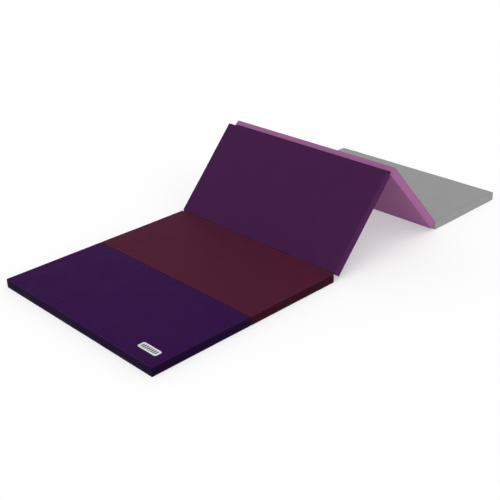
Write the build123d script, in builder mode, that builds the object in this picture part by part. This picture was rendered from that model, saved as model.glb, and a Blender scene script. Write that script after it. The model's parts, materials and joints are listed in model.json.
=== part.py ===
"""A five-panel folding gymnastics mat: three panels flat on the floor and two propped up as a tent.

Each panel is a foam core in a sewn vinyl cover: a top sheet, a bottom sheet and a band round the sides.
Neighbouring panels are joined by a strip of cover fabric: a flap sewn down each end wall and a narrow
web between the two flaps, which folds along both of its long edges. The strips are on the underside
and on the top side by turns, so the mat closes like a fan.

Units are millimetres. X runs along the mat from panel 1 to panel 5, Y across it and Z up. The origin is
on the floor, at the middle of the standing mat's outline.
"""

import os
from math import cos, radians, sin

from build123d import *

# Driving dimensions
PANEL_LENGTH = 597
PANEL_WIDTH = 1200
PANEL_THICKNESS = 50
PANEL_ANGLES = (0, 0, 48, -48, 0)

# Cover and core
VINYL = 0.7
CORNER_RADIUS = 8
EDGE_RADIUS = 4
SEAM_CLEARANCE = 0.05
FOAM_CLEARANCE = 0.3

# Hinge strips, each on the face that its panels fold towards
HINGE_FACES = ("bottom", "top", "bottom", "top")
STRIP = 0.6
WEB_WIDTH = 3
FOLD_DEPTH = 0.9
FOLD_CLEARANCE = 0.35
FLAP_DEPTH = 20
WALL_CLEARANCE = 0.1
STRIP_SIDE_INSET = 12

# Plain patch near one corner of panel 1
PATCH_LENGTH = 44
PATCH_WIDTH = 130
PATCH_THICKNESS = 0.4
PATCH_RADIUS = 10
PATCH_FROM_END = 90
PATCH_FROM_SIDE = 124

# Worked out from the above
SHEET_LENGTH = PANEL_LENGTH - 2 * EDGE_RADIUS
SHEET_WIDTH = PANEL_WIDTH - 2 * EDGE_RADIUS
STRIP_WIDTH = PANEL_WIDTH - 2 * STRIP_SIDE_INSET
FOLD_X = PANEL_LENGTH / 2 + WALL_CLEARANCE + STRIP / 2


def tilted(x, z, angle):
    """A plane at a point of the X-Z profile, its x along a piece tilted by an angle and its z out of its top."""
    turn = radians(angle)
    return Plane(origin=(x, 0, z), x_dir=(cos(turn), 0, sin(turn)), z_dir=(-sin(turn), 0, cos(turn)))


def fold_height(face):
    """The height of a hinge's fold lines above a panel's bottom face, in the panel's own frame."""
    return PANEL_THICKNESS - FOLD_DEPTH if face == "top" else FOLD_DEPTH


def beyond(plane, x, z, angle):
    """The plane of the next piece along, which starts at a point (x, z) of this plane's frame."""
    start = plane.from_local_coords((x, 0, z))
    return tilted(start.X, start.Z, angle)


def shifted(plane, distance):
    """The same plane a distance further along X."""
    return Plane(origin=plane.origin + Vector(distance, 0, 0), x_dir=plane.x_dir, z_dir=plane.z_dir)


def lay_out():
    """The planes of the panels, each at the middle of its bottom face, and of the webs, each at its first fold."""
    panel_planes = [tilted(0, 0, PANEL_ANGLES[0])]
    web_planes = []
    for face, before, after in zip(HINGE_FACES, PANEL_ANGLES, PANEL_ANGLES[1:]):
        height = fold_height(face)
        web_planes.append(beyond(panel_planes[-1], FOLD_X, height, (before + after) / 2))
        fold = beyond(web_planes[-1], WEB_WIDTH, 0, after)
        panel_planes.append(beyond(fold, FOLD_X, -height, after))
    middle = (panel_planes[0].origin.X + panel_planes[-1].origin.X) / 2
    return [shifted(p, -middle) for p in panel_planes], [shifted(w, -middle) for w in web_planes]


def rounded_block(plane, inset):
    """A block of the panel's shape, inset from its outer surface on every side."""
    with BuildPart() as block:
        with BuildSketch(plane.offset(inset)):
            RectangleRounded(PANEL_LENGTH - 2 * inset, PANEL_WIDTH - 2 * inset, CORNER_RADIUS - inset)
        extrude(amount=PANEL_THICKNESS - 2 * inset)
        faces = block.faces().sort_by(Axis(plane.origin, plane.z_dir))
        fillet(faces[0].edges() + faces[-1].edges(), EDGE_RADIUS - inset)
    return block


def make_foam_core(plane):
    """The foam slab that fills the cover."""
    return rounded_block(plane, VINYL + FOAM_CLEARANCE)


def make_side_band(plane):
    """The vinyl band round all four sides, turned over the top and bottom edges to meet the sheets."""
    outside = rounded_block(plane, 0)
    inside = rounded_block(plane, VINYL)
    with BuildPart() as band:
        add(outside.part)
        add(inside.part, mode=Mode.SUBTRACT)
        with BuildSketch(plane):
            RectangleRounded(SHEET_LENGTH, SHEET_WIDTH, CORNER_RADIUS - EDGE_RADIUS)
        extrude(amount=PANEL_THICKNESS, mode=Mode.SUBTRACT)
    return band


def make_sheet(plane, height):
    """The flat vinyl sheet of one face, with its underside at a height above the panel's bottom face."""
    with BuildPart() as sheet:
        with BuildSketch(plane.offset(height)):
            RectangleRounded(
                SHEET_LENGTH - 2 * SEAM_CLEARANCE,
                SHEET_WIDTH - 2 * SEAM_CLEARANCE,
                CORNER_RADIUS - EDGE_RADIUS - SEAM_CLEARANCE,
            )
        extrude(amount=VINYL)
    return sheet


def make_flap(plane, end, face):
    """A hinge strip's flap down one end wall of a panel, from just past the fold line."""
    near, far = FOLD_DEPTH + FOLD_CLEARANCE, FLAP_DEPTH
    middle = PANEL_THICKNESS - (near + far) / 2 if face == "top" else (near + far) / 2
    with BuildPart() as flap:
        with BuildSketch(plane.offset(middle)):
            with Locations((end * FOLD_X, 0)):
                Rectangle(STRIP, STRIP_WIDTH)
        extrude(amount=(far - near) / 2, both=True)
    return flap


def make_web(plane):
    """A hinge strip's web between its two fold lines."""
    with BuildPart() as web:
        with BuildSketch(plane):
            with Locations((WEB_WIDTH / 2, 0)):
                Rectangle(WEB_WIDTH - 2 * FOLD_CLEARANCE, STRIP_WIDTH)
        extrude(amount=STRIP / 2, both=True)
    return web


def make_label_patch(plane):
    """The plain sewn-on patch near the corner of panel 1's top sheet."""
    middle_x = PATCH_FROM_END - PANEL_LENGTH / 2
    middle_y = PATCH_FROM_SIDE - PANEL_WIDTH / 2
    with BuildPart() as patch:
        with BuildSketch(plane.offset(PANEL_THICKNESS)):
            with Locations((middle_x, middle_y)):
                RectangleRounded(PATCH_LENGTH, PATCH_WIDTH, PATCH_RADIUS)
        extrude(amount=PATCH_THICKNESS)
    return patch


def write(piece, name):
    """Labels a finished piece and writes its STEP file."""
    piece.part.label = name
    export_step(piece.part, f"parts/{name}.step")


os.makedirs("parts", exist_ok=True)
panels, webs = lay_out()

for count, panel in enumerate(panels, start=1):
    write(make_foam_core(panel), f"panel_{count}_foam_core")
    write(make_side_band(panel), f"panel_{count}_side_band")
    write(make_sheet(panel, 0), f"panel_{count}_bottom_sheet")
    write(make_sheet(panel, PANEL_THICKNESS - VINYL), f"panel_{count}_top_sheet")

for count, (fold_face, web_plane) in enumerate(zip(HINGE_FACES, webs), start=1):
    hinge = f"hinge_{count}_{count + 1}"
    write(make_flap(panels[count - 1], 1, fold_face), f"{hinge}_flap_{count}")
    write(make_web(web_plane), f"{hinge}_web")
    write(make_flap(panels[count], -1, fold_face), f"{hinge}_flap_{count + 1}")

write(make_label_patch(panels[0]), "label_patch")

for count, web_plane in enumerate(webs, start=1):
    last = web_plane.from_local_coords((WEB_WIDTH, 0, 0))
    print(f"hinge {count} folds at x {web_plane.origin.X:.4f}, z {web_plane.origin.Z:.4f}"
          f" and x {last.X:.4f}, z {last.Z:.4f}")
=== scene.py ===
"""The looks of a five-panel folding gymnastics mat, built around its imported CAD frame.

Every panel gets a foam core and a sewn vinyl cover of three pieces, with welted seams, stitching and the
shallow puckers that sewing leaves. The hinge strips, the patch, the studio and the camera follow.
Lengths are in metres.
"""

import json
import math

import bpy
import numpy as np
from mathutils import Matrix, Vector, noise


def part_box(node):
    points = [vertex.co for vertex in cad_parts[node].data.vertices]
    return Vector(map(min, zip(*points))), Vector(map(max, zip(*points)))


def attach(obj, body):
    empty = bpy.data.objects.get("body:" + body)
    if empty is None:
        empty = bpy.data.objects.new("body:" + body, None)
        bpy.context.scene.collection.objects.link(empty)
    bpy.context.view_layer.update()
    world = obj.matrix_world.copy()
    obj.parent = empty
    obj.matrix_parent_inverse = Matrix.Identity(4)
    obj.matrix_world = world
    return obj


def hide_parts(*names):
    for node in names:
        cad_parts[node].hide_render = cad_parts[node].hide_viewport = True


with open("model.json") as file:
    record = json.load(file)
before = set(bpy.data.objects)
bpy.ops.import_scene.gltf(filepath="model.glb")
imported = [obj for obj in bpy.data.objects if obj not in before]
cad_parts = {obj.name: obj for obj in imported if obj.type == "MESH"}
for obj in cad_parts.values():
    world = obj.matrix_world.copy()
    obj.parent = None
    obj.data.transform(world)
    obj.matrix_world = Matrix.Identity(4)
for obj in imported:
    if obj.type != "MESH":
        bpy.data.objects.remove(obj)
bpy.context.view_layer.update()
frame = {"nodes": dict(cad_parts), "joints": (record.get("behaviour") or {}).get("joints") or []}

MM = 0.001
TINY = 1e-9
ACROSS = Vector((0, 1, 0))
PANELS = (1, 2, 3, 4, 5)
HINGES = ((1, 2), (2, 3), (3, 4), (4, 5))
FLAT_PANELS = (1, 2, 5)

# Cover: cloth, welted seam, the groove that its stitches pull, and how far its faces and sides bulge
EDGE_RADIUS = 2.6 * MM
CLOTH = 0.7 * MM
WELT = 0.9 * MM
WELT_REACH = 1.0 * MM
GROOVE = 0.5 * MM
GROOVE_REACH = 2.2 * MM
STITCH_INSET = 4.2 * MM
CROWN = 1.3 * MM
CROWN_REACH = 70 * MM
RESTING_CROWN = 0.25
PUCKER = 0.5 * MM
PUCKER_REACH = 60 * MM
PUCKER_INSIDE = 0.25
PUCKER_LIMIT = 3
RIPPLE = 0.3 * MM
RIPPLE_REACH = 28 * MM
RIPPLE_WIDTH = 17 * MM
SWELL = 0.3 * MM
SWELL_WIDTH = 0.16
BAND_PULL = 0.9 * MM
BAND_BULGE = 1.1 * MM
BAND_SETTLE = 7 * MM
END_PRESS = 1.1 * MM
END_REACH = 40 * MM
FLAP_DEPTH = 22 * MM
HIGHEST = 0.35 * MM
CAP_EASE = 0.12 * MM
SEAM_PAINTED_SHADE_REACH = 1.6 * MM
RIM_REACH = 5 * MM

# Noise seeds, so that no two pieces of cloth wrinkle alike
PANEL_SEED = 7.3
FACE_SEEDS = {"top": 0, "bottom": 2.1, "band": 4.7}
END_WALL_SHIFT = 3

# Cloth simulation of one sewn sheet
SIM_STEP = 8 * MM
SIM_FRAMES = 24
SIM_GATHERED = 12
SIM_GATHER = 0.004
SIM_PRESSURE = 1.5
SIM_SMOOTHING = 45 * MM

# Foam
FOAM_INSET = 1.4 * MM
FOAM_EDGE = 3 * MM
FOAM_ROWS = 13

# Grid spacing in from each edge, then the step of the rest
FINE = [d * MM for d in (0, 0.5, 1, 1.6, 2.3, 3.2, 4.4, 6, 8.5, 12, 17, 24)]
STEP = 7 * MM
BAND_FINE = [d * MM for d in (0, 0.5, 1, 1.6, 2.3, 3.2, 4.4, 6, 8.5, 12)]
BAND_STEP = 4 * MM

# Thread
STITCH_PITCH = 6 * MM
STITCH_LENGTH = 4.4 * MM
THREAD_RADIUS = 0.36 * MM
THREAD_SIDES = 5
# Along one thread: place from its middle in thread lengths, radius and lift in thread radii
THREAD_STATIONS = ((-0.5, 0.35, -0.5), (-0.33, 1.0, 0.35), (0.33, 1.0, 0.35), (0.5, 0.35, -0.5))

# Colours of the top and bottom sheets, then of the side bands. The band colours hold painted shade and
# painted light: the sides of panels 1, 2 and 5 are painted darker than their sheets, those of panels 3 and 4
# lighter.
SHEET_COLOURS = {
    1: (0.0310, 0.0038, 0.0570),
    2: (0.0710, 0.0105, 0.0295),
    3: (0.0535, 0.0118, 0.0600),
    4: (0.2900, 0.1080, 0.2450),
    5: (0.3180, 0.3180, 0.3180),
}
BAND_COLOURS_PAINTED_LIGHT_SHADE = {
    1: (0.0078, 0.0004, 0.0165),
    2: (0.0235, 0.0018, 0.0082),
    3: (0.0700, 0.0150, 0.0780),
    4: (0.3450, 0.1250, 0.2950),
    5: (0.3100, 0.3100, 0.3100),
}
# How dark the painted shade along the seams is, as a share of the cloth's colour
SEAM_PAINTED_SHADE = 0.6
SEAM_THREAD_TONE = 1.15
STRIP_TONE = 0.9
STRIP_THREAD_TONE = 1.2
VINYL_ROUGHNESS = 0.58
ROUGHNESS_SPREAD = 0.06
VINYL_SLOTS = {1: "vinyl_violet", 2: "vinyl_wine", 3: "vinyl_plum", 4: "vinyl_mauve", 5: "vinyl_grey"}


# ---------------------------------------------------------------- panel frames


def middle_of(node):
    """The middle of a CAD node's box."""
    low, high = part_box(node)
    return (low + high) / 2


def panel_matrix(number):
    """A panel's own frame: x along it, y across it, z out of its top face, from its middle."""
    top = middle_of(f"panel_{number}_top_sheet")
    bottom = middle_of(f"panel_{number}_bottom_sheet")
    out = (top - bottom).normalized()
    along = ACROSS.cross(out)
    matrix = Matrix((along, ACROSS, out)).transposed().to_4x4()
    matrix.translation = (top + bottom) / 2
    return matrix


low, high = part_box("panel_1_side_band")
PANEL_SIZE = high - low
HALF = np.array(PANEL_SIZE) / 2
MATRICES = {number: panel_matrix(number) for number in PANELS}


def extent(node, number):
    """A CAD node's lowest and highest corner in a panel's own frame."""
    back = MATRICES[number].inverted()
    corners = np.array([back @ v.co for v in frame["nodes"][node].data.vertices])
    return corners.min(0), corners.max(0)


# ---------------------------------------------------------------- materials


class Nodes:
    """A node tree with short calls for making and joining its nodes."""

    def __init__(self, name):
        self.material = bpy.data.materials.new(name)
        self.material.use_nodes = True
        self.tree = self.material.node_tree
        self.tree.nodes.clear()
        self.output = self.add("ShaderNodeOutputMaterial")
        self.shader = self.add("ShaderNodeBsdfPrincipled")
        self.join(self.shader, "BSDF", self.output, "Surface")

    def add(self, kind, **inputs):
        node = self.tree.nodes.new(kind)
        for name, value in inputs.items():
            node.inputs[name.replace("_", " ")].default_value = value
        return node

    def join(self, start, output, end, socket):
        self.tree.links.new(start.outputs[output], end.inputs[socket])

    def place(self):
        return self.add("ShaderNodeTexCoord")

    def attribute(self, name):
        """A value that the mesh carries at its points."""
        node = self.add("ShaderNodeAttribute")
        node.attribute_name = name
        return node

    def noise(self, place, scale, detail=3, roughness=0.5):
        node = self.add("ShaderNodeTexNoise", Scale=scale, Detail=detail, Roughness=roughness)
        self.join(place, "Object", node, "Vector")
        return node

    def span(self, source, output, low, high, start=0.0, end=1.0):
        """Maps a value between start and end to one between low and high."""
        node = self.tree.nodes.new("ShaderNodeMapRange")
        node.inputs["From Min"].default_value = start
        node.inputs["From Max"].default_value = end
        node.inputs["To Min"].default_value = low
        node.inputs["To Max"].default_value = high
        self.join(source, output, node, "Value")
        return node

    def mix(self, factor, output, first, second):
        """A colour between two by a factor. Each is a colour or a node with a colour output."""
        node = self.tree.nodes.new("ShaderNodeMix")
        node.data_type = "RGBA"
        self.join(factor, output, node, "Factor")
        for socket, value in ((6, first), (7, second)):
            if isinstance(value, tuple):
                node.inputs[socket].default_value = (*value, 1)
            else:
                self.join(value, 2, node, socket)
        return node

    def combine(self, operation, first, first_output, second, second_output):
        """One value worked out from two."""
        node = self.add("ShaderNodeMath")
        node.operation = operation
        self.join(first, first_output, node, 0)
        self.join(second, second_output, node, 1)
        return node

    def paint(self, mixed):
        """The shader's base colour from a mix node."""
        self.join(mixed, 2, self.shader, "Base Color")

    def bump(self, height, output, strength, distance, under=None):
        node = self.add("ShaderNodeBump", Strength=strength, Distance=distance)
        self.join(height, output, node, "Height")
        if under is not None:
            self.join(under, "Normal", node, "Normal")
        return node


def scaled(colour, factor):
    return tuple(min(1.0, c * factor) for c in colour)


def vinyl(name, colour, rim_colour=None):
    """Coated cloth: a fine pebbled grain, faint mottling, painted shade by the seams and dust on the worn
    rims.

    A rim colour is what the cloth fades to by its rims; a band's colour holds painted shade and light, which
    fade there to its sheet's colour.
    """
    m = Nodes(name)
    place = m.place()
    mottle = m.noise(place, 9, detail=4, roughness=0.55)
    body = m.mix(m.span(mottle, "Fac", 0, 1, 0.3, 0.7), "Result", scaled(colour, 0.97), scaled(colour, 1.03))
    rim = m.attribute("rim")
    # A band's painted shade and light fade towards its rims to the rim colour, its sheet's own colour.
    if rim_colour is not None:
        body = m.mix(rim, "Fac", body, rim_colour)
    # Painted shade along the seams: the cloth's colour is drawn darker towards each seam.
    seam = m.attribute("seam")
    body = m.mix(m.span(seam, "Fac", 0, 0.4), "Result", body, scaled(colour, SEAM_PAINTED_SHADE))
    scuff = m.noise(place, 60, detail=6, roughness=0.7)
    worn = m.combine("MULTIPLY", rim, "Fac", m.span(scuff, "Fac", 0, 0.5, 0.5, 0.75), "Result")
    dusty = tuple(0.85 * c + 0.025 for c in colour)
    body = m.mix(worn, "Value", body, dusty)
    m.paint(body)
    pebble = m.add("ShaderNodeTexVoronoi", Scale=620)
    pebble.feature = "SMOOTH_F1"
    m.join(place, "Object", pebble, "Vector")
    creases = m.noise(place, 1500, detail=2)
    grain = m.bump(pebble, "Distance", 0.5, 0.35 * MM)
    grain = m.bump(creases, "Fac", 0.15, 0.2 * MM, under=grain)
    waves = m.noise(place, 26, detail=2)
    grain = m.bump(waves, "Fac", 0.08, 2 * MM, under=grain)
    m.join(grain, "Normal", m.shader, "Normal")
    dullest, shiniest = VINYL_ROUGHNESS + ROUGHNESS_SPREAD, VINYL_ROUGHNESS - ROUGHNESS_SPREAD
    gloss = m.span(mottle, "Fac", shiniest, dullest, 0.3, 0.7)
    m.join(gloss, "Result", m.shader, "Roughness")
    m.shader.inputs["Specular IOR Level"].default_value = 0.03
    return m.material


def foam():
    """Closed-cell polyethylene foam: small bubbles with a dull skin."""
    m = Nodes("foam")
    place = m.place()
    cells = m.add("ShaderNodeTexVoronoi", Scale=380)
    m.join(place, "Object", cells, "Vector")
    tone = m.mix(m.span(cells, "Distance", 0, 1), "Result", (0.72, 0.71, 0.67), (0.82, 0.81, 0.78))
    m.paint(tone)
    m.join(m.bump(cells, "Distance", 0.6, 0.8 * MM), "Normal", m.shader, "Normal")
    m.shader.inputs["Roughness"].default_value = 0.85
    return m.material


def thread(name, colour):
    """Twisted polyester thread."""
    m = Nodes(name)
    place = m.place()
    fibres = m.noise(place, 2500, detail=2)
    tone = m.mix(fibres, "Fac", scaled(colour, 0.8), scaled(colour, 1.25))
    m.paint(tone)
    m.join(m.bump(fibres, "Fac", 0.5, 0.2 * MM), "Normal", m.shader, "Normal")
    m.shader.inputs["Roughness"].default_value = 0.6
    m.shader.inputs["Sheen Weight"].default_value = 0.2
    return m.material


def woven(name, colour):
    """A close woven patch cloth."""
    m = Nodes(name)
    place = m.place()
    threads = []
    for direction in ("X", "Y"):
        wave = m.add("ShaderNodeTexWave", Scale=420, Distortion=0.4)
        wave.bands_direction = direction
        m.join(place, "Object", wave, "Vector")
        threads.append(wave)
    weave = m.combine("MAXIMUM", threads[0], "Fac", threads[1], "Fac")
    tone = m.mix(weave, "Value", scaled(colour, 0.86), colour)
    m.paint(tone)
    m.join(m.bump(weave, "Value", 0.5, 0.3 * MM), "Normal", m.shader, "Normal")
    m.shader.inputs["Roughness"].default_value = 0.65
    return m.material


# ---------------------------------------------------------------- meshes


def add_mesh(name, points, faces, material, attributes=None):
    """A smooth-shaded mesh in the row frame."""
    mesh = bpy.data.meshes.new(name)
    mesh.from_pydata([tuple(p) for p in points], [], faces)
    mesh.update()
    mesh.polygons.foreach_set("use_smooth", [True] * len(mesh.polygons))
    for key, values in (attributes or {}).items():
        layer = mesh.attributes.new(key, "FLOAT", "POINT")
        layer.data.foreach_set("value", np.asarray(values, np.float32))
    mesh.materials.append(material)
    obj = bpy.data.objects.new(name, mesh)
    bpy.context.scene.collection.objects.link(obj)
    return obj


def in_row(points, matrix):
    """Points of a panel's own frame, as an array in the row frame."""
    m = np.array(matrix)
    return np.asarray(points) @ m[:3, :3].T + m[:3, 3]


def graded(half, fine, step):
    """Places from -half to half: the fine distances in from each end, then even steps."""
    inner = half - fine[-1]
    count = max(2, round(2 * inner / step))
    between = [inner * (2 * k / count - 1) for k in range(1, count)]
    return np.array([d - half for d in fine] + between + [half - d for d in reversed(fine)])


def grid_faces(rows, columns, closed=False):
    """Quads of a grid whose points run along the columns first."""
    last = columns if closed else columns - 1
    faces = []
    for i in range(rows - 1):
        for j in range(last):
            k = (j + 1) % columns
            faces.append((i * columns + j, i * columns + k, (i + 1) * columns + k, (i + 1) * columns + j))
    return faces


def wobble(points, width, seed):
    """Smooth noise of about -1 to 1 at points of a plane, with swells about as wide as width."""
    return 2 * np.array([noise.noise(Vector((x / width, y / width, seed))) for x, y in points])


def simulate_sheet():
    """Heights of one sheet of cover cloth, blown up while the frame it is sewn to draws it in a little."""
    across = np.linspace(-HALF[0], HALF[0], round(2 * HALF[0] / SIM_STEP) + 1)
    along = np.linspace(-HALF[1], HALF[1], round(2 * HALF[1] / SIM_STEP) + 1)
    flat = np.array([(x, y, 0.0) for y in along for x in across])
    mesh = bpy.data.meshes.new("simulated")
    mesh.from_pydata([tuple(p) for p in flat], [], grid_faces(len(along), len(across)))
    sheet = bpy.data.objects.new("simulated", mesh)
    scene = bpy.context.scene
    scene.collection.objects.link(sheet)
    held = np.flatnonzero((np.abs(flat[:, 0]) > HALF[0] - MM) | (np.abs(flat[:, 1]) > HALF[1] - MM))
    sheet.vertex_groups.new(name="seam").add([int(k) for k in held], 1.0, "REPLACE")
    sheet.shape_key_add(name="flat")
    sewn = sheet.shape_key_add(name="sewn")
    sewn.data.foreach_set("co", (flat * (1 - SIM_GATHER)).ravel())
    for value, when in ((0, 1), (1, SIM_GATHERED)):
        sewn.value = value
        sewn.keyframe_insert("value", frame=when)
    cloth = sheet.modifiers.new("cloth", "CLOTH")
    rules = cloth.settings
    rules.quality = 6
    rules.mass = 0.15
    rules.tension_stiffness = 30
    rules.compression_stiffness = 30
    rules.shear_stiffness = 8
    rules.bending_stiffness = 0.05
    rules.tension_damping = 10
    rules.compression_damping = 10
    rules.shear_damping = 10
    rules.bending_damping = 1
    rules.air_damping = 3
    rules.vertex_group_mass = "seam"
    rules.use_pressure = True
    rules.uniform_pressure_force = SIM_PRESSURE
    rules.effector_weights.gravity = 0
    cloth.collision_settings.use_collision = False
    cloth.point_cache.frame_start = 1
    cloth.point_cache.frame_end = SIM_FRAMES
    for frame_number in range(1, SIM_FRAMES + 1):
        scene.frame_set(frame_number)
    evaluated = sheet.evaluated_get(bpy.context.evaluated_depsgraph_get())
    result = np.empty(3 * len(flat))
    evaluated.to_mesh().vertices.foreach_get("co", result)
    evaluated.to_mesh_clear()
    scene.frame_set(1)
    moves = mesh.shape_keys.animation_data.action
    bpy.data.objects.remove(sheet)
    bpy.data.meshes.remove(mesh)
    bpy.data.actions.remove(moves)
    return across, along, result.reshape(len(along), len(across), 3)[:, :, 2]


def smoothed(heights, axis):
    """Heights averaged along one axis, which mirrors them at its ends."""
    reach = int(3 * SIM_SMOOTHING / SIM_STEP)
    weights = np.exp(-0.5 * (np.arange(-reach, reach + 1) * SIM_STEP / SIM_SMOOTHING) ** 2)
    weights /= weights.sum()
    sides = [(0, 0), (0, 0)]
    sides[axis] = (reach, reach)
    padded = np.pad(heights, sides, mode="reflect")
    return np.apply_along_axis(lambda row: np.convolve(row, weights, mode="valid"), axis, padded)


def find_puckers():
    """The simulated sheet's puckers alone, at right angles to the nearer seam, at a spread of 1."""
    across, along, heights = simulate_sheet()
    edge_x = HALF[0] - np.abs(across)[None, :] + TINY
    edge_y = HALF[1] - np.abs(along)[:, None] + TINY
    by_side = edge_y**2 / (edge_x**2 + edge_y**2)
    ridges = by_side * (heights - smoothed(heights, 0)) + (1 - by_side) * (heights - smoothed(heights, 1))
    near = (np.minimum(edge_x, edge_y) < PUCKER_REACH) & (edge_x + edge_y > 2 * PUCKER_REACH)
    spread = ridges[near].std()
    return across, along, np.clip(ridges / spread, -PUCKER_LIMIT, PUCKER_LIMIT)


PUCKERS = find_puckers()


def puckers_at(x, y, number, face):
    """The puckers at points of a sheet. Each panel's two sheets use the simulated one turned differently."""
    across, along, ridges = PUCKERS
    turn = 2 * number + (face == "bottom")
    x = x * (-1) ** (turn % 2)
    y = y * (-1) ** (turn // 2 % 2)
    column = np.interp(x, across, np.arange(len(across)))
    row = np.interp(y, along, np.arange(len(along)))
    i = np.minimum(row.astype(int), len(along) - 2)
    j = np.minimum(column.astype(int), len(across) - 2)
    u, v = row - i, column - j
    u, v = u * u * (3 - 2 * u), v * v * (3 - 2 * v)
    low = ridges[i, j] * (1 - v) + ridges[i, j + 1] * v
    high = ridges[i + 1, j] * (1 - v) + ridges[i + 1, j + 1] * v
    return low * (1 - u) + high * u


def sheet_offset(x, y, number, face):
    """How far a top or bottom sheet stands out from a plain rounded box, before its seams."""
    seed = PANEL_SEED * number + FACE_SEEDS[face]
    depth = np.minimum(HALF[0] - np.abs(x), HALF[1] - np.abs(y))
    resting = face == "bottom" and number in FLAT_PANELS
    crown = CROWN * (RESTING_CROWN if resting else 1)
    offset = -crown * np.exp(-depth / CROWN_REACH)
    share = PUCKER_INSIDE + (1 - PUCKER_INSIDE) * np.exp(-depth / PUCKER_REACH)
    offset += PUCKER * share * puckers_at(x, y, number, face)
    offset += SWELL * wobble(np.stack([x, y], axis=1), SWELL_WIDTH, seed)
    highest = 0 if resting else HIGHEST
    return highest - CAP_EASE * np.logaddexp(0, (highest - offset) / CAP_EASE)


def band_ripples(run, depth, seed):
    """Ripples down a side band from its seams: run is along the band, depth away from the nearer seam."""
    spots = np.stack([run / RIPPLE_WIDTH, depth / (6 * RIPPLE_WIDTH)], axis=1)
    return RIPPLE * np.exp(-depth / RIPPLE_REACH) * wobble(spots, 1, seed)


def cover_offset(nominal, number, face):
    """How far the cover's outer surface stands out from a plain rounded box at points on that box."""
    x, y, z = nominal.T
    if face == "band":
        depth = HALF[2] - np.abs(z)
        on_end = HALF[0] - np.abs(x) < TINY
        share = np.where(on_end, y / HALF[1], x / HALF[0])
        bulge = BAND_BULGE * np.cos(math.pi * z / (2 * HALF[2])) * (1 - share**8)
        wall = -BAND_PULL * (1 - share**4) + bulge
        seed = PANEL_SEED * number + FACE_SEEDS[face]
        wall += band_ripples(np.where(on_end, y, x) + END_WALL_SHIFT * on_end, depth, seed)
        rim = np.where(z > 0, sheet_offset(x, y, number, "top"), sheet_offset(x, y, number, "bottom"))
        settle = np.exp(-depth / BAND_SETTLE)
        offset = rim * settle + wall * (1 - settle)
    else:
        depth = np.minimum(HALF[0] - np.abs(x), HALF[1] - np.abs(y))
        offset = sheet_offset(x, y, number, face)
    offset -= GROOVE * np.exp(-(((depth - STITCH_INSET) / GROOVE_REACH) ** 2))
    offset += WELT * np.exp(-((depth / WELT_REACH) ** 2))
    return offset, depth


def end_press(nominal, number):
    """How far a panel's end is pushed out along the panel, towards its neighbour and clear of the hinge."""
    x, y, z = nominal.T
    push = np.zeros(len(nominal))
    for side, neighbour in ((-1, number - 1), (1, number + 1)):
        if neighbour not in PANELS:
            continue
        hinge = f"hinge_{min(number, neighbour)}_{max(number, neighbour)}"
        low, high = extent(f"{hinge}_flap_{number}", number)
        away = 1 if low[2] + high[2] < 0 else -1
        clear = np.clip((HALF[2] + away * z - FLAP_DEPTH) / (2 * HALF[2] - 1.5 * FLAP_DEPTH), 0, 1)
        near = np.clip(1 - (HALF[0] - side * x) / END_REACH, 0, 1)
        push += side * END_PRESS * near * clear * clear * (3 - 2 * clear)
    return push


def cover_surface(nominal, number, face):
    """The cover's outer surface at points on the panel's plain box.

    It gives the points' places, the outward directions there and the distances from the nearest seam.
    """
    inner = np.clip(nominal, EDGE_RADIUS - HALF, HALF - EDGE_RADIUS)
    out = nominal - inner
    out /= np.linalg.norm(out, axis=1, keepdims=True)
    offset, depth = cover_offset(nominal, number, face)
    points = inner + out * (EDGE_RADIUS + offset[:, None])
    points[:, 0] += end_press(nominal, number)
    return points, out, depth


def box_grid(face):
    """Points on one face of the panel's plain box, or round its sides, and the quads between them."""
    along = graded(HALF[0], FINE, STEP)
    across = graded(HALF[1], FINE, STEP)
    if face == "band":
        loop = [(x, -HALF[1]) for x in along[:-1]] + [(HALF[0], y) for y in across[:-1]]
        loop += [(x, HALF[1]) for x in along[:0:-1]] + [(-HALF[0], y) for y in across[:0:-1]]
        heights = graded(HALF[2], BAND_FINE, BAND_STEP)
        points = np.array([(x, y, z) for z in heights for x, y in loop])
        return points, grid_faces(len(heights), len(loop), closed=True)
    sign = 1 if face == "top" else -1
    points = np.array([(x, y, sign * HALF[2]) for y in across for x in along])
    faces = grid_faces(len(across), len(along))
    if face == "bottom":
        faces = [tuple(reversed(f)) for f in faces]
    return points, faces


def add_cover_piece(number, face, material):
    """One of the three vinyl pieces of a panel's cover, its cloth thickened inwards."""
    nominal, faces = box_grid(face)
    points, _, depth = cover_surface(nominal, number, face)
    # The seam mark is where painted shade darkens the cloth by its seams; the rim mark is where wear falls,
    # and where a band's painted shade and light fade to its sheet's colour.
    marks = {"seam": np.exp(-((depth / SEAM_PAINTED_SHADE_REACH) ** 2)), "rim": np.exp(-depth / RIM_REACH)}
    piece = add_mesh(f"cover_{face}_{number}", in_row(points, MATRICES[number]), faces, material, marks)
    thick = piece.modifiers.new("cloth", "SOLIDIFY")
    thick.thickness = CLOTH
    thick.offset = -1
    return piece


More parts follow.
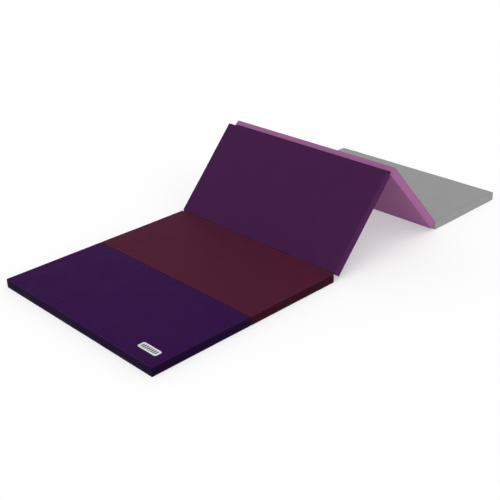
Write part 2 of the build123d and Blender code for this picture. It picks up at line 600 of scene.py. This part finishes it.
def add_foam_core(number, material):
    """The foam slab inside a cover, its edges a little rounded."""
    size = HALF - FOAM_INSET - (BAND_PULL, BAND_PULL, CROWN)
    points, faces, index = [], [], {}
    steps = np.linspace(-1, 1, FOAM_ROWS)

    def vertex(spot):
        key = tuple(np.round(spot, 6))
        if key not in index:
            index[key] = len(points)
            inner = np.clip(np.array(spot) * size, FOAM_EDGE - size, size - FOAM_EDGE)
            out = np.array(spot) * size - inner
            out /= max(np.linalg.norm(out), TINY)
            points.append(inner + out * FOAM_EDGE)
        return index[key]

    for axis in range(3):
        for side in (-1, 1):
            for i in range(FOAM_ROWS - 1):
                for j in range(FOAM_ROWS - 1):
                    ring = []
                    for a, b in ((i, j), (i + 1, j), (i + 1, j + 1), (i, j + 1)):
                        spot = [0.0, 0.0, 0.0]
                        spot[axis] = side
                        spot[(axis + 1) % 3] = steps[a]
                        spot[(axis + 2) % 3] = steps[b]
                        ring.append(vertex(spot))
                    faces.append(tuple(ring if side > 0 else reversed(ring)))
    return add_mesh(f"foam_core_{number}", in_row(points, MATRICES[number]), faces, material)


def add_stitches(name, centres, directions, normals, matrix, material):
    """A row of short threads, each diving into the cloth at both ends."""
    sides = THREAD_SIDES
    last = (len(THREAD_STATIONS) - 1) * sides
    points, faces = [], []
    for centre, direction, normal in zip(centres, directions, normals):
        side = np.cross(normal, direction)
        first = len(points)
        for place, size, lift in THREAD_STATIONS:
            middle = centre + direction * place * STITCH_LENGTH + normal * lift * THREAD_RADIUS
            for k in range(sides):
                turn = 2 * math.pi * k / sides
                ring = side * math.cos(turn) + normal * math.sin(turn)
                points.append(middle + ring * size * THREAD_RADIUS)
        for i in range(len(THREAD_STATIONS) - 1):
            for k in range(sides):
                a, b = first + i * sides + k, first + i * sides + (k + 1) % sides
                faces.append((b, a, a + sides, b + sides))
        faces.append(tuple(first + k for k in range(sides)))
        faces.append(tuple(first + last + k for k in reversed(range(sides))))
    return add_mesh(name, in_row(points, matrix), faces, material)


def seam_run(inset):
    """The stitches round a panel's face, a distance in from its edges, as (place, direction) pairs."""
    spots = []
    reach = (HALF[0] - inset, HALF[1] - inset)
    corners = [(-1, -1), (1, -1), (1, 1), (-1, 1)]
    for k, corner in enumerate(corners):
        a = np.multiply(corner, reach)
        b = np.multiply(corners[(k + 1) % 4], reach)
        length = np.linalg.norm(b - a)
        direction = (b - a) / length
        count = int((length - 2 * STITCH_PITCH) // STITCH_PITCH)
        margin = (length - (count - 1) * STITCH_PITCH) / 2
        for i in range(count):
            spots.append((a + direction * (margin + i * STITCH_PITCH), direction))
    return spots


def add_seam_stitches(number, face, material):
    """The stitching that holds a sheet to the side band, all round one face."""
    spots = seam_run(STITCH_INSET)
    sign = 1 if face == "top" else -1
    nominal = np.array([(*place, sign * HALF[2]) for place, direction in spots])
    directions = np.array([(*direction, 0) for place, direction in spots])
    centres, normals, _ = cover_surface(nominal, number, face)
    name = f"stitching_{face}_{number}"
    return add_stitches(name, centres, directions, normals, MATRICES[number], material)


# ---------------------------------------------------------------- panels


def add_cover(number):
    """A panel's sewn cover: top and bottom sheets with their stitching, and the band round its sides."""
    slot = VINYL_SLOTS[number]
    colour = SHEET_COLOURS[number]
    sheet_vinyl = vinyl(f"{slot}_sheet", colour)
    # The band's colour holds painted shade and light, which fade to the sheet's colour by its rims.
    band_vinyl = vinyl(f"{slot}_band", BAND_COLOURS_PAINTED_LIGHT_SHADE[number], rim_colour=colour)
    seam_thread = thread(f"thread_{number}", scaled(colour, SEAM_THREAD_TONE))
    sheet_cut = (PANEL_SIZE.x, PANEL_SIZE.y)
    band_cut = (PANEL_SIZE.z, 2 * (PANEL_SIZE.x + PANEL_SIZE.y))
    for face, node, material, cut in (
        ("top", "top_sheet", sheet_vinyl, sheet_cut),
        ("bottom", "bottom_sheet", sheet_vinyl, sheet_cut),
        ("band", "side_band", band_vinyl, band_cut),
    ):
        piece = add_cover_piece(number, face, material)
        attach(piece, f"panel_{number}")
        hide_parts(f"panel_{number}_{node}")
        if face != "band":
            stitches = add_seam_stitches(number, face, seam_thread)
            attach(stitches, f"panel_{number}")


def add_panel(number, foam_material):
    """A foam core in its cover."""
    core = add_foam_core(number, foam_material)
    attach(core, f"panel_{number}")
    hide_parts(f"panel_{number}_foam_core")
    add_cover(number)


foam_material = foam()
for number in PANELS:
    add_panel(number, foam_material)


# ---------------------------------------------------------------- hinge strips

STRIP_STEP = 24 * MM
ROUND_STEPS = 6
WEB_SHARE = 0.9
STITCH_ROWS = (0.3, 0.7)
FOLDS = {joint["name"]: Vector(joint["pos_m"]) for joint in frame["joints"]}


def strip_section(start, end, thick, normal):
    """A thin strip's outline between two lines that cross the mat, with a round end about each."""
    direction = (end - start).normalized()
    outline = []
    for centre, first in ((end, -90), (start, 90)):
        for k in range(ROUND_STEPS + 1):
            turn = math.radians(first + 180 * k / ROUND_STEPS)
            ring = direction * math.cos(turn) + normal * math.sin(turn)
            outline.append(centre + ring * thick / 2)
    return outline


def add_strip(name, start, end, normal, reach, thick, material):
    """A strip of cloth between two lines that run across the mat, closed at both ends."""
    outline = strip_section(start, end, thick, normal)
    places = np.linspace(-reach, reach, round(2 * reach / STRIP_STEP) + 1)
    points = [p + ACROSS * y for y in places for p in outline]
    count = len(outline)
    faces = grid_faces(len(places), count, closed=True)
    faces = [tuple(reversed(f)) for f in faces]
    faces.append(tuple(range(count)))
    faces.append(tuple(len(points) - 1 - k for k in range(count)))
    return add_mesh(name, points, faces, material)


def add_strip_stitches(hinge, number, fold, free, material):
    """The rows of stitching that hold a flap to a panel's end wall, between the fold and the flap's foot."""
    side = 1 if fold.x > 0 else -1
    count = int(2 * STRIP_REACH / STITCH_PITCH) - 2
    centres = []
    for share in STITCH_ROWS:
        height = fold.z + share * (free - fold.z)
        for k in range(count):
            y = (k - (count - 1) / 2) * STITCH_PITCH
            centres.append((fold.x + side * STRIP_HALF, y, height))
    directions = np.tile((0.0, 1.0, 0.0), (len(centres), 1))
    normals = np.tile((float(side), 0.0, 0.0), (len(centres), 1))
    name = f"{hinge}_stitching_{number}"
    return add_stitches(name, np.array(centres), directions, normals, MATRICES[number], material)


def add_flap(hinge, number, strip_vinyl, strip_thread):
    """The flap of a hinge strip that is sewn down a panel's end wall, with its stitching."""
    node = f"{hinge}_flap_{number}"
    low, high = extent(node, number)
    place = FOLDS[f"{hinge}_fold_{number}"]
    fold = MATRICES[number].inverted() @ place
    free = low[2] if abs(low[2] - fold.z) > abs(high[2] - fold.z) else high[2]
    foot = MATRICES[number] @ Vector((fold.x, 0, free))
    along = MATRICES[number].to_3x3() @ Vector((1, 0, 0))
    name = f"{hinge}_strip_flap_{number}"
    flap = add_strip(name, place, foot, along, STRIP_REACH, 2 * STRIP_HALF, strip_vinyl)
    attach(flap, f"panel_{number}")
    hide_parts(node)
    stitches = add_strip_stitches(hinge, number, fold, free, strip_thread)
    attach(stitches, f"panel_{number}")


def add_hinge(before, after):
    """A hinge's strip, in the first panel's colour: a flap on each panel and a narrow web between them."""
    hinge = f"hinge_{before}_{after}"
    strip_vinyl = vinyl(f"{hinge}_strip", scaled(SHEET_COLOURS[before], STRIP_TONE))
    strip_thread = thread(f"{hinge}_thread", scaled(SHEET_COLOURS[before], STRIP_THREAD_TONE))
    start, end = FOLDS[f"{hinge}_fold_{before}"], FOLDS[f"{hinge}_fold_{after}"]
    normal = (end - start).normalized().cross(ACROSS)
    thick = WEB_SHARE * 2 * STRIP_HALF
    web = add_strip(f"{hinge}_strip_web", start, end, normal, STRIP_REACH, thick, strip_vinyl)
    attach(web, hinge)
    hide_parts(f"{hinge}_web")
    for number in (before, after):
        add_flap(hinge, number, strip_vinyl, strip_thread)


low, high = extent("hinge_1_2_flap_1", 1)
STRIP_HALF = (high[0] - low[0]) / 2
STRIP_REACH = high[1]
for before, after in HINGES:
    add_hinge(before, after)


# ---------------------------------------------------------------- patch

PATCH_LIFT = 0.9 * MM
PATCH_CORNER = 10 * MM
PATCH_HEM = 4.5 * MM
PATCH_WHITE = (0.80, 0.80, 0.80)
PATCH_INK = (0.022, 0.014, 0.032)
BAR_INSET = 9 * MM
BAR_COUNT = 8
BAR_SHARE = 0.28
BAR_CORNER = 2.5 * MM
SMALLEST_CORNER = 0.3 * MM


def rounded_outline(half_x, half_y, radius, steps=8):
    """A rectangle's outline with round corners, as (x, y) pairs."""
    outline = []
    for sx, sy, first in ((1, -1, -90), (1, 1, 0), (-1, 1, 90), (-1, -1, 180)):
        for k in range(steps + 1):
            turn = math.radians(first + 90 * k / steps)
            x = sx * (half_x - radius) + radius * math.cos(turn)
            y = sy * (half_y - radius) + radius * math.sin(turn)
            outline.append((x, y))
    return outline


def add_plate(name, middle, half_x, half_y, radius, rings, material):
    """A thin plate with round corners. Each ring is how far in from its outline and how high it stands."""
    points, faces = [], []
    count = len(rounded_outline(half_x, half_y, radius))
    for inset, height in rings:
        ring = rounded_outline(half_x - inset, half_y - inset, max(radius - inset, SMALLEST_CORNER))
        points += [(middle[0] + x, middle[1] + y, middle[2] + height) for x, y in ring]
    faces = grid_faces(len(rings), count, closed=True)
    faces.append(tuple((len(rings) - 1) * count + k for k in range(count)))
    faces.append(tuple(reversed(range(count))))
    return add_mesh(name, points, faces, material)


def add_bars(middle, half_x, half_y):
    """A row of plain dark bars across the patch."""
    ink = woven("patch_ink", PATCH_INK)
    pitch = 2 * (half_y - BAR_INSET) / BAR_COUNT
    rings = [(0, 0.4 * PATCH_LIFT), (0, 0.8 * PATCH_LIFT), (0.4 * MM, 0.9 * PATCH_LIFT)]
    bars = []
    for k in range(BAR_COUNT):
        place = (middle[0], middle[1] + (k - (BAR_COUNT - 1) / 2) * pitch, middle[2])
        name = f"label_patch_bar_{k + 1}"
        bar = add_plate(name, place, half_x - BAR_INSET, BAR_SHARE * pitch, BAR_CORNER, rings, ink)
        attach(bar, "panel_1")
        bars.append(bar)
    return bars


def add_patch():
    """The small hemmed patch by a corner of panel 1."""
    low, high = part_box("label_patch")
    middle = ((low.x + high.x) / 2, (low.y + high.y) / 2, low.z)
    half_x, half_y = (high.x - low.x) / 2, (high.y - low.y) / 2
    rings = [
        (0, -1 * MM),
        (0, 0.5 * PATCH_LIFT),
        (0.4 * MM, PATCH_LIFT),
        (PATCH_HEM - 0.6 * MM, PATCH_LIFT),
        (PATCH_HEM, 0.55 * PATCH_LIFT),
        (PATCH_HEM + 1 * MM, 0.5 * PATCH_LIFT),
    ]
    cloth = woven("patch_cloth", PATCH_WHITE)
    patch = add_plate("label_patch_cloth", middle, half_x, half_y, PATCH_CORNER, rings, cloth)
    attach(patch, "panel_1")
    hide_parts("label_patch")
    bars = add_bars(middle, half_x, half_y)


add_patch()


# ---------------------------------------------------------------- studio and camera

FLOOR_REACH = 200
SIGHT_REACH = 2.5 * FLOOR_REACH
CAMERA_PLACE = Vector((-3.314, -3.328, 2.243))
VIEW_TURN, VIEW_TILT, VIEW_ROLL = 46.55, -26.14, -1.59
LENS_MM, SENSOR_MM = 65.95, 36


def add_floor():
    """A plain pale studio floor that glows a little, as a light table does."""
    m = Nodes("floor")
    m.shader.inputs["Base Color"].default_value = (0.6, 0.6, 0.6, 1)
    m.shader.inputs["Emission Color"].default_value = (1, 1, 1, 1)
    m.shader.inputs["Emission Strength"].default_value = 0.42
    m.shader.inputs["Roughness"].default_value = 0.9
    m.shader.inputs["Specular IOR Level"].default_value = 0.1
    r = FLOOR_REACH
    floor = add_mesh("floor", [(-r, -r, 0), (r, -r, 0), (r, r, 0), (-r, r, 0)], [(0, 1, 2, 3)], m.material)


def add_light(name, towards, strength, spread):
    """A broad soft light, as a sun with a disc some degrees wide: towards points from the mat to it."""
    data = bpy.data.lights.new(name, "SUN")
    data.energy = strength
    data.angle = math.radians(spread)
    light = bpy.data.objects.new(name, data)
    light.rotation_euler = Vector(towards).to_track_quat("Z", "Y").to_euler()
    bpy.context.scene.collection.objects.link(light)


def add_studio():
    """A pale room round the mat: white at the horizon, where it meets the floor, and dimmer overhead."""
    world = bpy.data.worlds.new("studio")
    bpy.context.scene.world = world
    world.use_nodes = True
    tree = world.node_tree
    place = tree.nodes.new("ShaderNodeTexCoord")
    split = tree.nodes.new("ShaderNodeSeparateXYZ")
    fade = tree.nodes.new("ShaderNodeMapRange")
    tree.links.new(place.outputs["Generated"], split.inputs[0])
    tree.links.new(split.outputs["Z"], fade.inputs["Value"])
    for socket, value in (("From Min", 0.08), ("From Max", 0.6), ("To Min", 1.0), ("To Max", 0.45)):
        fade.inputs[socket].default_value = value
    background = tree.nodes["Background"]
    background.inputs["Color"].default_value = (1, 1, 1, 1)
    tree.links.new(fade.outputs["Result"], background.inputs["Strength"])


def add_camera():
    """The camera, which looks along the mat and down at it from beyond panel 1."""
    turn, tilt, roll = (math.radians(a) for a in (VIEW_TURN, VIEW_TILT, VIEW_ROLL))
    ahead = Vector((math.cos(tilt) * math.cos(turn), math.cos(tilt) * math.sin(turn), math.sin(tilt)))
    right = ahead.cross(Vector((0, 0, 1))).normalized()
    up = right.cross(ahead)
    rolled_right = math.cos(roll) * right + math.sin(roll) * up
    rolled_up = math.cos(roll) * up - math.sin(roll) * right
    data = bpy.data.cameras.new("camera")
    data.lens = LENS_MM
    data.sensor_width = SENSOR_MM
    data.clip_end = SIGHT_REACH
    camera = bpy.data.objects.new("camera", data)
    matrix = Matrix((rolled_right, rolled_up, -ahead)).transposed().to_4x4()
    matrix.translation = CAMERA_PLACE
    camera.matrix_world = matrix
    bpy.context.scene.collection.objects.link(camera)
    bpy.context.scene.camera = camera


add_floor()
add_light("softbox", towards=(-0.28, -0.12, 1.0), strength=1.23, spread=50)
add_light("fill", towards=(-0.35, -0.85, 0.5), strength=0.42, spread=60)
add_camera()
add_studio()
bpy.context.scene.view_settings.view_transform = "Standard"
